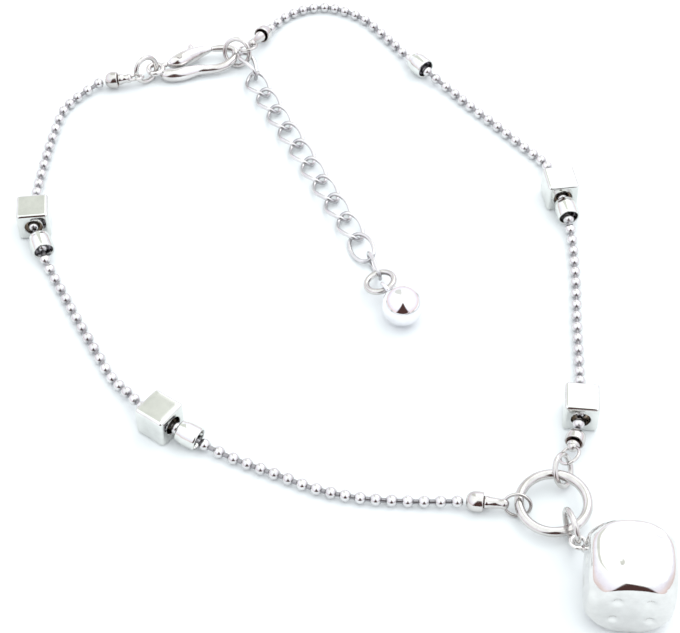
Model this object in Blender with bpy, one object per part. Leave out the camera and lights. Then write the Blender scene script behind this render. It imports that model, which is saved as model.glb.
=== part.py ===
"""Payal anklet: two runs of small ball chain joined by a ring that carries a die charm,
with four cube beads, stopper beads, a lobster clasp and an extension chain with a ball drop."""
import bmesh
import bpy
import math
from mathutils import Matrix, Vector

# All sizes are in millimetres, on a floor at z = 0.
MM = 0.001

BEAD_D = 1.40
BEAD_NECK_D = 0.56
BEAD_SIDES = 10
CUBE = 4.0
CUBE_EDGE = 0.42
CUBE_BORE = 2.5
STOPPER_D = 2.8
STOPPER_L = 2.6
STOPPER_BORE = 2.08
STOPPER_LIFT = 0.10
CUP_D = 2.3
EYE_WIRE = 0.40
CENTRE_RING_D = 8.54
CENTRE_RING_WIRE = 1.10
LINK_L = 4.80
LINK_W = 2.90
LINK_WIRE = 0.54
LINK_TWIST = -36.0
LINK_COUNT = 10
BALL_D = 5.0
DIE = 8.9
DIE_BALL = 11.5
DIE_ROUND = 0.8
DIE_GRID = (-1.0, -0.888, -0.562, -0.202, 0.202, 0.562, 0.888, 1.0)
CLASP_HEADING = 16.9
CLASP_Z = 1.35
LEVER_PIVOT = (4.7, 0.56)

# Bead number, x, y, z of chosen points along each run of ball chain.
LEFT_RUN = [
    (0, -33.0, 42.0, 0.98), (2, -35.6, 39.4, 0.73), (4, -37.2, 36.6, 0.72), (7, -38.1, 31.2, 0.72),
    (10, -38.6, 26.0, 0.72), (12, -38.85, 22.3, 0.80), (13.1, -38.86, 20.3, 1.05), (15, -38.70, 17.0, 1.84),
    (17.25, -38.24, 13.2, 1.84), (18.8, -37.1, 10.75, 1.43), (20, -36.45, 8.6, 0.95), (21.2, -35.55, 6.8, 0.73),
    (24, -33.2, 2.2, 0.72), (27, -30.8, -2.5, 0.72), (30, -28.2, -7.3, 0.72), (32, -26.5, -10.3, 0.74),
    (34, -24.6, -12.6, 0.95), (35, -23.55, -13.95, 1.30), (36.5, -21.9, -16.05, 1.84), (38.8, -18.75, -18.33, 1.84),
    (39.95, -16.95, -19.25, 1.43), (41.1, -15.05, -20.3, 0.90), (43, -11.9, -22.0, 0.73), (46, -7.3, -24.1, 0.72),
    (49, -2.6, -26.2, 0.72), (52, 2.2, -27.4, 0.72), (55, 7.4, -27.85, 0.72), (58, 12.8, -28.05, 0.95),
]
RIGHT_RUN = [
    (0, 26.88, -18.0, 1.90), (1.45, 27.37, -15.56, 1.95), (2.6, 27.57, -13.57, 1.84), (4, 27.75, -11.1, 1.12),
    (5, 27.9, -9.4, 0.78), (7, 28.1, -5.9, 0.72), (10, 28.4, -0.6, 0.72), (13, 28.8, 4.9, 0.72),
    (16, 29.0, 10.3, 0.72), (17.9, 28.95, 13.7, 0.90), (19.75, 28.66, 16.75, 1.43), (20.75, 28.31, 18.4, 1.80),
    (22.0, 28.03, 20.4, 1.88), (23.1, 27.75, 22.3, 1.82), (24.4, 27.25, 24.5, 1.15), (26, 26.3, 26.8, 0.74),
    (28, 24.3, 29.3, 0.72), (31, 21.0, 33.4, 0.72), (34, 17.6, 37.5, 0.72), (36.5, 15.1, 40.75, 0.76),
    (38, 13.15, 42.9, 1.02), (39.85, 11.0, 45.3, 1.43), (41.5, 9.15, 47.9, 1.0), (43, 7.75, 50.3, 0.74),
    (45, 5.8, 53.1, 0.72), (47, 3.6, 56.1, 0.72), (49, 0.7, 58.1, 0.72), (51, -2.2, 59.0, 0.72),
    (53, -5.3, 58.4, 0.72), (55, -7.8, 56.7, 0.72), (57, -9.75, 53.9, 0.95),
]
# Centre x, y, yaw of the axis that the chain runs along.
CUBES = [(-38.47, 15.11, 6.5), (-20.35, -17.16, 53.9), (28.05, 20.30, 7.7), (27.37, -15.56, -5.7)]
# Run and bead number at which each stopper sits.
STOPPERS = [("left", 18.8), ("left", 39.95), ("right", 19.75), ("right", 39.85)]


def material(name, color, metallic, roughness):
    mat = bpy.data.materials.new(name)
    mat.use_nodes = True
    bsdf = mat.node_tree.nodes["Principled BSDF"]
    bsdf.inputs["Base Color"].default_value = (color[0], color[1], color[2], 1.0)
    bsdf.inputs["Metallic"].default_value = metallic
    bsdf.inputs["Roughness"].default_value = roughness
    mat.diffuse_color = (color[0], color[1], color[2], 1.0)
    return mat


def mesh_object(name, verts, faces, mat, parent, smooth=True):
    bm = bmesh.new()
    made = [bm.verts.new(Vector(v) * MM) for v in verts]
    for face in faces:
        bm.faces.new([made[i] for i in face])
    bmesh.ops.recalc_face_normals(bm, faces=bm.faces)
    mesh = bpy.data.meshes.new(name)
    bm.to_mesh(mesh)
    bm.free()
    for poly in mesh.polygons:
        poly.use_smooth = smooth
    obj = bpy.data.objects.new(name, mesh)
    bpy.context.scene.collection.objects.link(obj)
    if mat:
        mesh.materials.append(mat)
    if parent:
        obj.parent = parent
    return obj


def transports(points, closed):
    n = len(points)
    tangents = []
    for i in range(n):
        if closed:
            t = points[(i + 1) % n] - points[i - 1]
        else:
            t = points[min(i + 1, n - 1)] - points[max(i - 1, 0)]
        tangents.append(t.normalized())
    up = Vector((0, 0, 1))
    if abs(tangents[0].dot(up)) > 0.9:
        up = Vector((1, 0, 0))
    side = tangents[0].cross(up).normalized()
    sides = [side]
    for i in range(1, n):
        side = side - tangents[i] * side.dot(tangents[i])
        side.normalize()
        sides.append(side)
    twist = 0.0
    if closed:
        last = side - tangents[0] * side.dot(tangents[0])
        last.normalize()
        other = tangents[0].cross(sides[0])
        twist = -math.atan2(last.dot(other), last.dot(sides[0]))
    return tangents, sides, twist


def tube(points, radii, sides_n, closed):
    points = [Vector(p) for p in points]
    tangents, sides, twist = transports(points, closed)
    verts = []
    n = len(points)
    for i in range(n):
        b = tangents[i].cross(sides[i])
        for k in range(sides_n):
            a = 2 * math.pi * k / sides_n + (twist * i / n if closed else 0.0)
            verts.append(points[i] + (sides[i] * math.cos(a) + b * math.sin(a)) * radii[i])
    faces = []
    rounds = n if closed else n - 1
    for i in range(rounds):
        j = (i + 1) % n
        for k in range(sides_n):
            m = (k + 1) % sides_n
            faces.append((i * sides_n + k, i * sides_n + m, j * sides_n + m, j * sides_n + k))
    if not closed:
        faces.append(tuple(range(sides_n - 1, -1, -1)))
        faces.append(tuple((n - 1) * sides_n + k for k in range(sides_n)))
    return verts, faces


def turned(profile, origin, axis, sides_n, looped):
    axis = Vector(axis).normalized()
    origin = Vector(origin)
    up = Vector((0, 0, 1))
    if abs(axis.dot(up)) > 0.9:
        up = Vector((1, 0, 0))
    u = axis.cross(up).normalized()
    w = axis.cross(u)
    verts = []
    rows = []
    for s, r in profile:
        if r < 1e-6:
            rows.append([len(verts)])
            verts.append(origin + axis * s)
        else:
            row = []
            for k in range(sides_n):
                a = 2 * math.pi * k / sides_n
                row.append(len(verts))
                verts.append(origin + axis * s + (u * math.cos(a) + w * math.sin(a)) * r)
            rows.append(row)
    pairs = list(zip(rows[:-1], rows[1:]))
    if looped:
        pairs.append((rows[-1], rows[0]))
    faces = []
    for a, b in pairs:
        for k in range(sides_n):
            m = (k + 1) % sides_n
            if len(a) == 1:
                faces.append((a[0], b[m], b[k]))
            elif len(b) == 1:
                faces.append((a[k], a[m], b[0]))
            else:
                faces.append((a[k], a[m], b[m], b[k]))
    return verts, faces


def joined(name, bodies, mat, parent, smooth=True):
    obj = mesh_object(name, bodies[0][0], bodies[0][1], mat, parent, smooth)
    for k, body in enumerate(bodies[1:]):
        tool = mesh_object(name + "_join_%d" % k, body[0], body[1], mat, None, smooth)
        apply_boolean(obj, tool, "UNION")
    return obj


def apply_boolean(obj, tool, operation):
    mod = obj.modifiers.new("join", "BOOLEAN")
    mod.operation = operation
    mod.solver = "EXACT"
    mod.object = tool
    bpy.context.view_layer.update()
    depsgraph = bpy.context.evaluated_depsgraph_get()
    made = bpy.data.meshes.new_from_object(obj.evaluated_get(depsgraph))
    old = obj.data
    obj.modifiers.clear()
    obj.data = made
    made.name = obj.name
    bpy.data.meshes.remove(old)
    bpy.data.objects.remove(tool)


def route(points):
    """Catmull-Rom curve through the chosen points, read by bead number."""
    def at(n):
        i = 0
        while i < len(points) - 2 and n > points[i + 1][0]:
            i += 1
        t1, t2 = points[i][0], points[i + 1][0]
        p1, p2 = Vector(points[i][1:]), Vector(points[i + 1][1:])
        if i > 0:
            m1 = (p2 - Vector(points[i - 1][1:])) / (t2 - points[i - 1][0])
        else:
            m1 = (p2 - p1) / (t2 - t1)
        if i + 2 < len(points):
            m2 = (Vector(points[i + 2][1:]) - p1) / (points[i + 2][0] - t1)
        else:
            m2 = (p2 - p1) / (t2 - t1)
        h = t2 - t1
        u = (n - t1) / h
        return (p1 * (2 * u ** 3 - 3 * u ** 2 + 1) + m1 * h * (u ** 3 - 2 * u ** 2 + u)
                + p2 * (-2 * u ** 3 + 3 * u ** 2) + m2 * h * (u ** 3 - u ** 2))
    return at


def bead_strand(name, points, mat, parent):
    at = route(points)
    last = int(points[-1][0])
    r = BEAD_D / 2
    half = 0.48 * r
    line = []
    radii = []
    for i in range(last + 1):
        here = at(i)
        ahead = (at(min(i + 0.2, last)) - at(max(i - 0.2, 0))).normalized()
        line += [here - ahead * half, here + ahead * half]
        radii += [r * 0.91, r * 0.91]
        if i == 0:
            line.insert(0, here - ahead * r * 0.97)
            radii.insert(0, BEAD_NECK_D / 2)
        if i < last:
            line.append((here + at(i + 1)) / 2)
            radii.append(BEAD_NECK_D / 2)
        else:
            line.append(here + ahead * r * 0.97)
            radii.append(BEAD_NECK_D / 2)
    verts, faces = tube(line, radii, BEAD_SIDES, False)
    return mesh_object(name, verts, faces, mat, parent)


def rounded_box(size, edge, segments):
    bm = bmesh.new()
    bmesh.ops.create_cube(bm, size=size)
    bmesh.ops.bevel(bm, geom=list(bm.edges), offset=edge, segments=segments, profile=0.5, affect="EDGES")
    verts = [v.co.copy() for v in bm.verts]
    faces = [tuple(v.index for v in f.verts) for f in bm.faces]
    bm.free()
    return verts, faces


def die_block(size, edge, ball):
    """Cube whose corners and edges are rounded off by a sphere of that diameter."""
    half = size / 2
    flat = half - edge
    verts = []
    faces = []
    seen = {}
    for axis in range(3):
        for sign in (-1, 1):
            grid = []
            for u in DIE_GRID:
                row = []
                for w in DIE_GRID:
                    p = Vector((0, 0, 0))
                    p[axis] = sign * half
                    p[(axis + 1) % 3] = u * half
                    p[(axis + 2) % 3] = w * half
                    key = tuple(round(c, 4) for c in p)
                    if key not in seen:
                        inner = Vector([max(-flat, min(flat, c)) for c in p])
                        q = inner + (p - inner).normalized() * edge
                        if q.length > ball / 2:
                            q = q * (ball / 2 / q.length)
                        seen[key] = len(verts)
                        verts.append(q)
                    row.append(seen[key])
                grid.append(row)
            for i in range(len(DIE_GRID) - 1):
                for j in range(len(DIE_GRID) - 1):
                    a, b, c, d = grid[i][j], grid[i + 1][j], grid[i + 1][j + 1], grid[i][j + 1]
                    if (i < 3) == (j < 3):
                        faces += [(a, b, c), (a, c, d)]
                    else:
                        faces += [(a, b, d), (b, c, d)]
    return verts, faces


def placed(body, matrix):
    return [matrix @ Vector(v) for v in body[0]], body[1]


def cube_bead(name, x, y, yaw, mat, parent):
    turn = Matrix.Translation((x, y, CUBE / 2 + 0.01)) @ Matrix.Rotation(math.radians(yaw), 4, "Z")
    verts, faces = placed(rounded_box(CUBE, CUBE_EDGE, 2), turn)
    obj = mesh_object(name, verts, faces, mat, parent)
    along = Vector((-math.sin(math.radians(yaw)), math.cos(math.radians(yaw)), 0))
    if name.endswith("2"):
        along = Vector((math.cos(math.radians(yaw)), math.sin(math.radians(yaw)), 0))
        along = Vector((-along.y, along.x, 0))
    start = Vector((x, y, CUBE / 2)) - along * CUBE
    profile = [(0, 0), (0, CUBE_BORE / 2), (2 * CUBE, CUBE_BORE / 2), (2 * CUBE, 0)]
    v, f = turned(profile, start, along, 14, False)
    apply_boolean(obj, mesh_object(name + "_bore", v, f, mat, None), "DIFFERENCE")
    return obj


def stopper_bead(name, centre, axis, mat, parent):
    r = STOPPER_D / 2
    b = STOPPER_BORE / 2
    h = STOPPER_L / 2
    profile = [(-h, b), (-h, b + 0.14), (-h + 0.45, r - 0.10), (-h + 0.95, r), (h - 0.35, r), (h, r - 0.06),
               (h, r - 0.20), (h - 0.9, b)]
    v, f = turned(profile, centre, axis, 14, True)
    return mesh_object(name, v, f, mat, parent)


def circle(centre, normal, radius, count):
    n = Vector(normal).normalized()
    ref = Vector((0, 0, 1)) if abs(n.z) < 0.8 else Vector((1, 0, 0))
    a = n.cross(ref).normalized()
    b = n.cross(a)
    out = []
    for k in range(count):
        t = 2 * math.pi * k / count
        out.append(Vector(centre) + (a * math.cos(t) + b * math.sin(t)) * radius)
    return out


def ring(name, centre, normal, outer, wire, mat, parent, count=16, sides=7):
    points = circle(centre, normal, (outer - wire) / 2, count)
    v, f = tube(points, [wire / 2] * count, sides, True)
    return mesh_object(name, v, f, mat, parent)


def side_frame(axis):
    axis = Vector(axis).normalized()
    side = Vector((0, 0, 1)).cross(axis).normalized()
    return axis, side, axis.cross(side)


def oval(centre, axis, roll, length, width, count, twist=0.0):
    axis, side, up = side_frame(axis)
    out = []
    for k in range(count):
        t = 2 * math.pi * k / count
        phi = roll + twist * math.cos(t)
        w = side * math.cos(phi) + up * math.sin(phi)
        out.append(Vector(centre) + axis * math.cos(t) * length / 2 + w * math.sin(t) * width / 2)
    return out


def chain_link(name, centre, axis, roll, length, width, wire, twist, mat, parent):
    count = 14
    points = oval(centre, axis, roll, length, width, count, twist)
    v, f = tube(points, [wire / 2] * count, 6, True)
    return mesh_object(name, v, f, mat, parent)


def chain_end(name, start, tip, roll, cup, length, width, mat, parent):
    """Domed cup on the last bead, a ball at its mouth and the eye that takes a ring."""
    start = Vector(start)
    tip = Vector(tip)
    axis = (tip - start).normalized()
    r = CUP_D / 2
    centre = tip - axis * (length / 2 + EYE_WIRE / 2)
    knob = (centre - start).length - length / 2 - 0.1
    knob = max(knob, cup - 0.2)
    profile = [(0, 0), (0.03, 0.45 * r), (0.32, 0.80 * r), (0.85, r), (cup - 0.12, r), (cup, r - 0.10),
               (cup, r - 0.26), (cup - 0.45, 0.36)]
    if knob > cup + 0.4:
        profile += [(knob - 0.62, 0.34), (knob - 0.34, 0.60), (knob + 0.14, 0.60), (knob + 0.42, 0.30)]
    else:
        profile += [(cup - 0.2, 0.40), (knob + 0.42, 0.40)]
    profile.append((profile[-1][0] + 0.02, 0))
    cup_body = turned(profile, start, axis, 12, False)
    points = oval(centre, axis, roll, length, width, 14)
    eye = tube(points, [EYE_WIRE / 2] * 14, 6, True)
    return joined(name, [cup_body, eye], mat, parent)


def clasp_point(u, w, z=0.0):
    a = math.radians(CLASP_HEADING)
    x = CLASP_EYE[0] + u * math.cos(a) - w * math.sin(a)
    y = CLASP_EYE[1] + u * math.sin(a) + w * math.cos(a)
    return Vector((x, y, CLASP_Z + z))


# Placed loops: centre, then the normal, or the axis and roll, of each.
CENTRE_RING = ((23.19, -28.67, 1.61), (-0.06, -0.05, 1.00))
SMALL_RING = ((24.56, -24.53, 1.91), (0.81, -0.35, 0.49))
BAIL = ((24.75, -32.41, 2.30), (1.16, 0.32, 0.09))
DIE_EYE = ((25.28, -34.27, 2.25), (0.07, 0.06, 0.62))
DIE_AT = (29.8, -39.9, -4.0)
LEFT_RING = ((-26.54, 43.74, 1.98), (0.665, -0.724, 0.229))
RIGHT_RING = ((-14.25, 47.36, 2.00), (-0.27, -0.67, 0.35))
CLASP_EYE = (-26.47, 44.24)
# Start, tip, roll, cup length, eye length and eye width of each chain end.
END_LEFT = ((-32.06, 42.25, 1.2), (-26.71, 42.57, 1.70), 2.72, 1.7, 2.0, 2.2)
END_BOTTOM = ((13.75, -28.05, 1.17), (20.93, -29.03, 1.40), 1.01, 1.9, 2.9, 2.5)
END_TOP = ((26.75, -19.0, 1.7), (24.95, -23.81, 1.94), 0.55, 1.7, 2.6, 2.3)
END_RIGHT = ((-10.35, 53.15, 1.2), (-13.21, 46.33, 3.03), 0.32, 1.8, 2.5, 2.4)
FIRST_LINK = (-12.43, 45.16, 1.57)
SECOND_LINK = (-11.20, 41.80, 0.82)
LAST_LINK = (1.30, 14.39, 0.80)
FIRST_LINK_ROLL = -0.86
END_LINK = ((2.69, 10.67, 0.92), 0.46, 4.9, 2.8)
SMALL_LINK = ((4.21, 7.09, 1.42), 1.71, 4.6, 2.3)
DROP_RING = ((4.87, 4.02, 1.80), (-0.19, 0.06, 0.70))
BALL_AT = (7.46, -0.50, 2.51)
BALL_EYE = ((5.67, 2.37, 2.19), (0.53, 0.33, 0.26))


def die_charm(mat, parent):
    x, y, yaw = DIE_AT
    turn = Matrix.Translation((x, y, DIE / 2 + 0.01)) @ Matrix.Rotation(math.radians(yaw), 4, "Z")
    body = placed(die_block(DIE, DIE_ROUND, DIE_BALL), turn)
    centre, normal = DIE_EYE
    points = circle(centre, normal, 0.82, 12)
    eye = tube(points, [0.24] * 12, 6, True)
    near = Vector(centre)
    corner = turn @ Vector((-DIE / 2 + 1.9, DIE / 2 - 1.9, near.z - DIE / 2))
    toward = (corner - near).normalized()
    stem = tube([near + toward * 0.72, corner], [0.42, 0.55], 8, False)
    return joined("die_charm", [body, stem, eye], mat, parent)


def ball_drop(mat, parent):
    centre = Vector(BALL_AT)
    r = BALL_D / 2
    near = Vector(BALL_EYE[0])
    axis = (near - centre).normalized()
    flat = Vector(BALL_EYE[1])
    flat = flat - axis * flat.dot(axis)
    profile = [(-r, 0)]
    for k in range(1, 8):
        a = math.pi * k / 8
        profile.append((-r * math.cos(a), r * math.sin(a)))
    profile.append((r, 0))
    ball = turned(profile, centre, axis, 16, False)
    eye = tube(circle(near, flat, 0.95, 12), [0.24] * 12, 6, True)
    lean = Vector((0.04, -0.03, 0.06))
    stem = tube([centre + axis * 1.4 + lean, near - axis * 0.78 + lean], [0.58, 0.37], 7, False)
    return joined("ball_drop", [ball, stem, eye], mat, parent)


def clasp_body(mat, parent):
    hook = [(1.80, -0.78, -0.12, 0.42), (2.35, -1.20, -0.34, 0.80), (3.5, -1.55, -0.40, 0.93), (5.0, -1.60, -0.38, 0.92),
            (6.7, -1.50, -0.35, 0.74), (8.1, -1.75, -0.35, 0.66), (9.45, -1.95, -0.30, 0.60), (10.8, -1.75, -0.13, 0.56),
            (11.9, -1.15, 0.05, 0.53), (12.5, -0.20, 0.17, 0.53), (12.35, 0.75, 0.17, 0.53), (11.6, 1.40, 0.10, 0.52),
            (10.6, 1.75, 0.05, 0.48), (9.75, 1.95, 0.0, 0.42)]
    points = [clasp_point(u, w, z) for u, w, z, r in hook]
    bow = tube(points, [r for u, w, z, r in hook], 10, False)
    eye = tube(circle(clasp_point(1.15, 0.0), (0, 0, 1), 0.98, 14), [0.38] * 14, 8, True)
    cheek = tube([clasp_point(1.90, 0.42), clasp_point(2.45, 0.50), clasp_point(2.75, 0.52)], [0.30, 0.36, 0.36], 8, False)
    return joined("clasp_body", [bow, eye, cheek], mat, parent)


def clasp_lever(mat, parent):
    path = [(3.15, 0.52, 0.44), (3.7, 0.54, 0.76), (4.7, 0.56, 0.97), (5.9, 0.95, 0.94), (6.9, 1.27, 0.76),
            (7.9, 1.73, 0.56), (8.8, 1.88, 0.43), (9.35, 1.91, 0.36)]
    points = [clasp_point(u, w) for u, w, r in path]
    arm = tube(points, [r for u, w, r in path], 8, False)
    pivot = clasp_point(*LEVER_PIVOT)
    post = tube([pivot + Vector((0, 0, -1.15)), pivot + Vector((0, 0, 1.12))], [0.42, 0.42], 10, False)
    knob = tube([clasp_point(6.5, 1.35), clasp_point(6.75, 2.7), clasp_point(6.85, 3.35)], [0.42, 0.50, 0.38], 8, False)
    return joined("clasp_lever", [arm, post, knob], mat, parent)


def build():
    for obj in list(bpy.data.objects):
        bpy.data.objects.remove(obj)
    root = bpy.data.objects.new("payal_anklet", None)
    bpy.context.scene.collection.objects.link(root)

    chain_metal = material("chain_metal", (0.80, 0.80, 0.80), 1.0, 0.22)
    bead_metal = material("bead_metal", (0.84, 0.84, 0.84), 1.0, 0.14)
    ring_metal = material("ring_metal", (0.78, 0.78, 0.79), 1.0, 0.18)
    clasp_metal = material("clasp_metal", (0.80, 0.79, 0.79), 1.0, 0.20)
    drop_metal = material("drop_metal", (0.82, 0.82, 0.83), 1.0, 0.10)
    die_metal = material("die_metal", (0.82, 0.84, 0.86), 1.0, 0.12)

    bead_strand("strand_left", LEFT_RUN, chain_metal, root)
    bead_strand("strand_right", RIGHT_RUN, chain_metal, root)
    for k, (x, y, yaw) in enumerate(CUBES):
        cube_bead("cube_bead_%d" % (k + 1), x, y, yaw, bead_metal, root)
    runs = {"left": route(LEFT_RUN), "right": route(RIGHT_RUN)}
    for k, (side, n) in enumerate(STOPPERS):
        at = runs[side]
        axis = at(n + 0.5) - at(n - 0.5)
        # The open mouth looks to the front of the loop.
        if axis.y > 0:
            axis = -axis
        axis.z *= 0.5
        centre = at(n) + Vector((0, 0, STOPPER_LIFT))
        stopper_bead("stopper_bead_%d" % (k + 1), centre, axis, bead_metal, root)

    chain_end("chain_end_left", *END_LEFT, ring_metal, root)
    chain_end("chain_end_bottom", *END_BOTTOM, ring_metal, root)
    chain_end("chain_end_top", *END_TOP, ring_metal, root)
    chain_end("chain_end_right", *END_RIGHT, ring_metal, root)
    ring("centre_ring", CENTRE_RING[0], CENTRE_RING[1], CENTRE_RING_D, CENTRE_RING_WIRE, ring_metal, root, 24, 9)
    ring("small_ring", SMALL_RING[0], SMALL_RING[1], 4.12, 0.62, ring_metal, root)
    ring("charm_bail", BAIL[0], BAIL[1], 4.58, 0.68, ring_metal, root)
    ring("left_end_ring", LEFT_RING[0], LEFT_RING[1], 4.04, 0.66, ring_metal, root)
    ring("right_end_ring", RIGHT_RING[0], RIGHT_RING[1], 4.30, 0.62, ring_metal, root)

    first = Vector(FIRST_LINK)
    second = Vector(SECOND_LINK)
    step = (Vector(LAST_LINK) - second) / (LINK_COUNT - 2)
    for k in range(LINK_COUNT):
        centre = second + step * (k - 1)
        axis = step
        roll = 0.0
        if k == 0:
            centre = first
            axis = second - first + step
            roll = FIRST_LINK_ROLL
        chain_link("link_%02d" % (k + 1), centre, axis, roll, LINK_L, LINK_W, LINK_WIRE,
                   math.radians(LINK_TWIST), chain_metal, root)
    ahead = Vector(SMALL_LINK[0]) - Vector(END_LINK[0])
    last = Vector(DROP_RING[0]) - Vector(SMALL_LINK[0])
    chain_link("end_link", END_LINK[0], ahead.normalized() + step.normalized(), END_LINK[1], END_LINK[2],
               END_LINK[3], 0.52, 0.0, chain_metal, root)
    chain_link("small_link", SMALL_LINK[0], ahead.normalized() + last.normalized(), SMALL_LINK[1], SMALL_LINK[2],
               SMALL_LINK[3], 0.46, 0.0, chain_metal, root)
    ring("drop_ring", DROP_RING[0], DROP_RING[1], 4.20, 0.76, ring_metal, root)
    ball_drop(drop_metal, root)
    die_charm(die_metal, root)
    clasp_body(clasp_metal, root)

    hinge = bpy.data.objects.new("clasp_lever_pivot", None)
    bpy.context.scene.collection.objects.link(hinge)
    hinge.parent = root
    hinge.location = clasp_point(*LEVER_PIVOT) * MM
    lever = clasp_lever(clasp_metal, None)
    lever.data.transform(Matrix.Translation(-hinge.location))
    lever.parent = hinge

    bpy.context.view_layer.update()
    low = Vector((1e9, 1e9, 1e9))
    high = -low
    for obj in bpy.data.objects:
        if obj.type == "MESH":
            for v in obj.data.vertices:
                p = obj.matrix_world @ v.co
                for axis in range(3):
                    low[axis] = min(low[axis], p[axis])
                    high[axis] = max(high[axis], p[axis])
    print("bounds mm", [round(v / MM, 3) for v in low], [round(v / MM, 3) for v in high])
    root.location = (-(low.x + high.x) / 2, -(low.y + high.y) / 2, -low.z)
    print("shift mm", [round(v / MM, 4) for v in root.location])
    total = 0
    for obj in bpy.data.objects:
        if obj.type == "MESH":
            obj.data.calc_loop_triangles()
            total += len(obj.data.loop_triangles)
            print("triangles", obj.name, len(obj.data.loop_triangles))
    print("triangles in all", total)


build()
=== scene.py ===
import math

import bmesh
import bpy
from mathutils import Matrix, Vector


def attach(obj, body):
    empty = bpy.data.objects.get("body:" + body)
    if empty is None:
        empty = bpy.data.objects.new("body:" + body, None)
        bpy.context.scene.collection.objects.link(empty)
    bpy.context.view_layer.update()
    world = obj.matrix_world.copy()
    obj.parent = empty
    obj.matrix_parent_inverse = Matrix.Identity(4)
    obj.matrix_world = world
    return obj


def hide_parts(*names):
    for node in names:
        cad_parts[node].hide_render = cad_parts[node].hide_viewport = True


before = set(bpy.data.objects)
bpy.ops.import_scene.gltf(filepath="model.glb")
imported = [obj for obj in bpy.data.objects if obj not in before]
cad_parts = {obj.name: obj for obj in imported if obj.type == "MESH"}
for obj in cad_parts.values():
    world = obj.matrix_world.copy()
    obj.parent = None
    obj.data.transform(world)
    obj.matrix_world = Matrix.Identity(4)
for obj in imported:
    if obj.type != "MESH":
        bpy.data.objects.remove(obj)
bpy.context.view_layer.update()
print("frame loaded,", len(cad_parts), "nodes")

# The anklet's layout was measured in millimetres from the point the camera looks at.
layout = {"unit": 0.001, "shift": (3.1112, -7.5696, -0.01)}


def spot(x, y, z):
    sx, sy, sz = layout["shift"]
    return Vector((x + sx, y + sy, z + sz))


# Camera: same height, distance and lens as the photograph.
view = {"down": 48.01, "distance": 205.05, "lens": 90.0}
down = math.radians(view["down"])
lookAt = spot(0, 0, 0) * layout["unit"]
eyePoint = spot(0, -view["distance"] * math.cos(down), view["distance"] * math.sin(down)) * layout["unit"]
cameraData = bpy.data.cameras.new("photoCamera")
cameraData.lens = view["lens"]
cameraData.sensor_width = 36.0
cameraData.clip_start = 0.005
camera = bpy.data.objects.new("photoCamera", cameraData)
bpy.context.scene.collection.objects.link(camera)
camera.location = eyePoint
camera.rotation_euler = (lookAt - eyePoint).to_track_quat("-Z", "Y").to_euler()
bpy.context.scene.camera = camera
print("camera placed")


def hexToLinear(code):
    out = []
    for i in (0, 2, 4):
        c = int(code.lstrip("#")[i:i + 2], 16) / 255
        out.append(c / 12.92 if c <= 0.04045 else ((c + 0.055) / 1.055) ** 2.4)
    return (out[0], out[1], out[2], 1.0)


def addNode(tree, kind, settings=None, inputs=None, links=None):
    node = tree.nodes.new(kind)
    for name, value in (settings or {}).items():
        setattr(node, name, value)
    for name, value in (inputs or {}).items():
        node.inputs[name].default_value = value
    for name, source in (links or {}).items():
        tree.links.new(source, node.inputs[name])
    return node


def newFinish(name):
    mat = bpy.data.materials.new(name)
    mat.use_nodes = True
    tree = mat.node_tree
    tree.nodes.clear()
    out = addNode(tree, "ShaderNodeOutputMaterial")
    shader = addNode(tree, "ShaderNodeBsdfPrincipled")
    tree.links.new(shader.outputs["BSDF"], out.inputs["Surface"])
    return mat, tree, shader


# Rhodium plate over polished brass: a hard, white, mirror-like metal with faint polishing haze.
plating = {
    "chainPlate": {"color": "#DFDEDE", "dull": "#CFCDCE",
                   "rough": 0.14, "haze": 0.07, "grain": 0.35, "lift": 0.02},
    "beadPlate": {"color": "#E2E3E0", "dull": "#D8D9D6",
                  "rough": 0.07, "haze": 0.06, "grain": 0.60, "lift": 0.015},
    "ringPlate": {"color": "#D6D3D1", "dull": "#C2BFBD",
                  "rough": 0.09, "haze": 0.08, "grain": 0.40, "lift": 0.02},
    "claspPlate": {"color": "#E0DEDD", "dull": "#D0CCCA",
                   "rough": 0.11, "haze": 0.08, "grain": 0.50, "lift": 0.03},
    "ballPlate": {"color": "#EDECEE", "dull": "#E5E4E8",
                  "rough": 0.04, "haze": 0.03, "grain": 0.80, "lift": 0.01},
    "diePlate": {"color": "#E2E1DF", "dull": "#D9D8D6",
                 "rough": 0.05, "haze": 0.05, "grain": 0.90, "lift": 0.012},
}


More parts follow.
